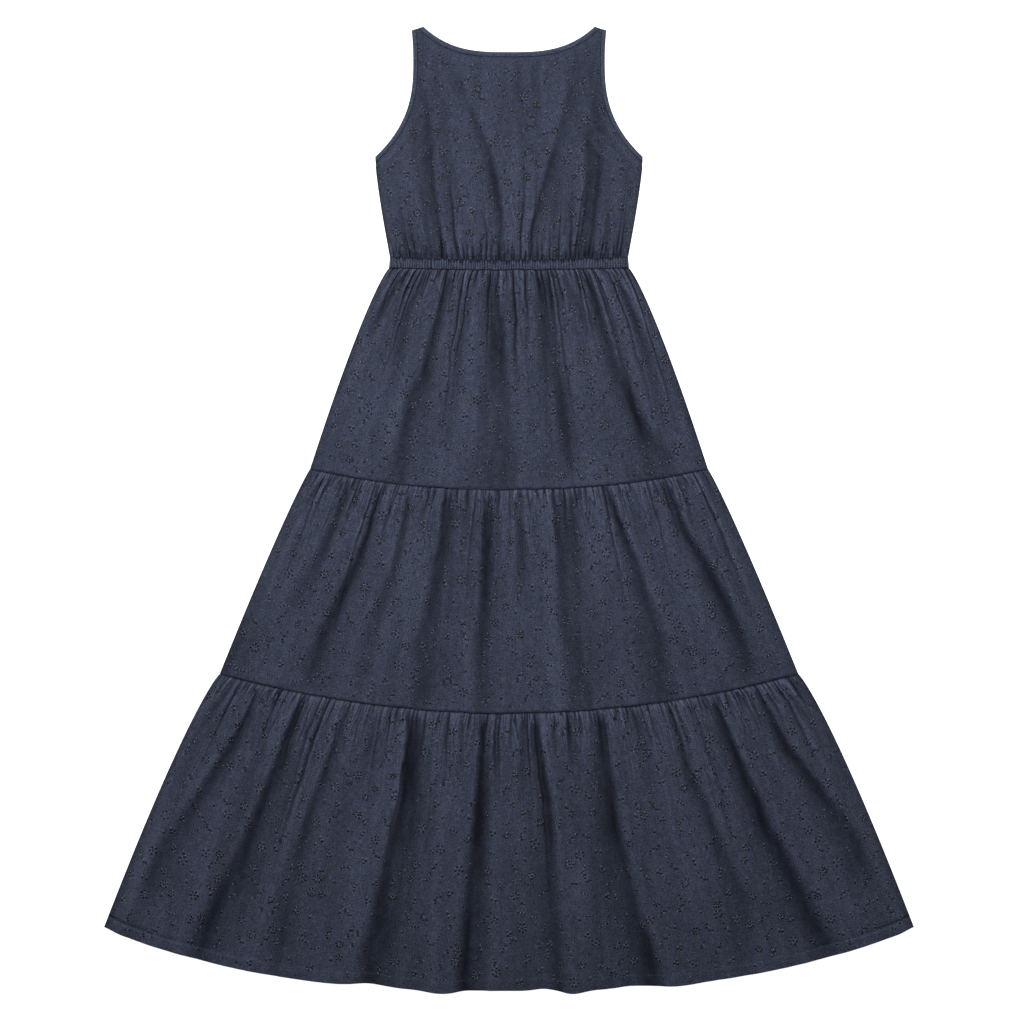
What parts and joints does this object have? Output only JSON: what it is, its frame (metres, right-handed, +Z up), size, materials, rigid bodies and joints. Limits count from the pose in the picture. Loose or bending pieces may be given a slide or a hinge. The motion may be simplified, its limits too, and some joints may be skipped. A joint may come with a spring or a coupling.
{
  "type": "tiered midi dress",
  "caption": "Sleeveless eyelet cotton dress with a boat neck, bound edges, elastic waist and gathered skirt tiers, laid out flat.",
  "frame": {"origin": "middle of the dress's outline, at the level of the surface it lies on", "axes": "+Y from the hem to the neck along the centre line, +X across the dress towards the right of the picture, +Z up from the surface, out of the front of the dress"},
  "size_m": [1.09, 1.3, 0.0153],
  "materials": {
    "eyelet_cotton": "matte slate-navy cotton with small stitched eyelet sprigs in the same colour",
    "waist_casing": "matte slate-navy cotton, finely ruched over elastic",
    "binding": "matte slate-navy cotton strip, folded and topstitched"
  },
  "bodies": {
    "root": {"bodice_front": "eyelet_cotton", "bodice_back": "eyelet_cotton", "top_tier_front": "eyelet_cotton", "top_tier_back": "eyelet_cotton", "middle_tier_front": "eyelet_cotton", "middle_tier_back": "eyelet_cotton", "bottom_tier_front": "eyelet_cotton", "bottom_tier_back": "eyelet_cotton", "waist_casing_front": "waist_casing", "waist_casing_back": "waist_casing", "neck_binding_front": "binding", "neck_binding_back": "binding", "armhole_binding_left_front": "binding", "armhole_binding_left_back": "binding", "armhole_binding_right_front": "binding", "armhole_binding_right_back": "binding"}
  },
  "joints": []
}
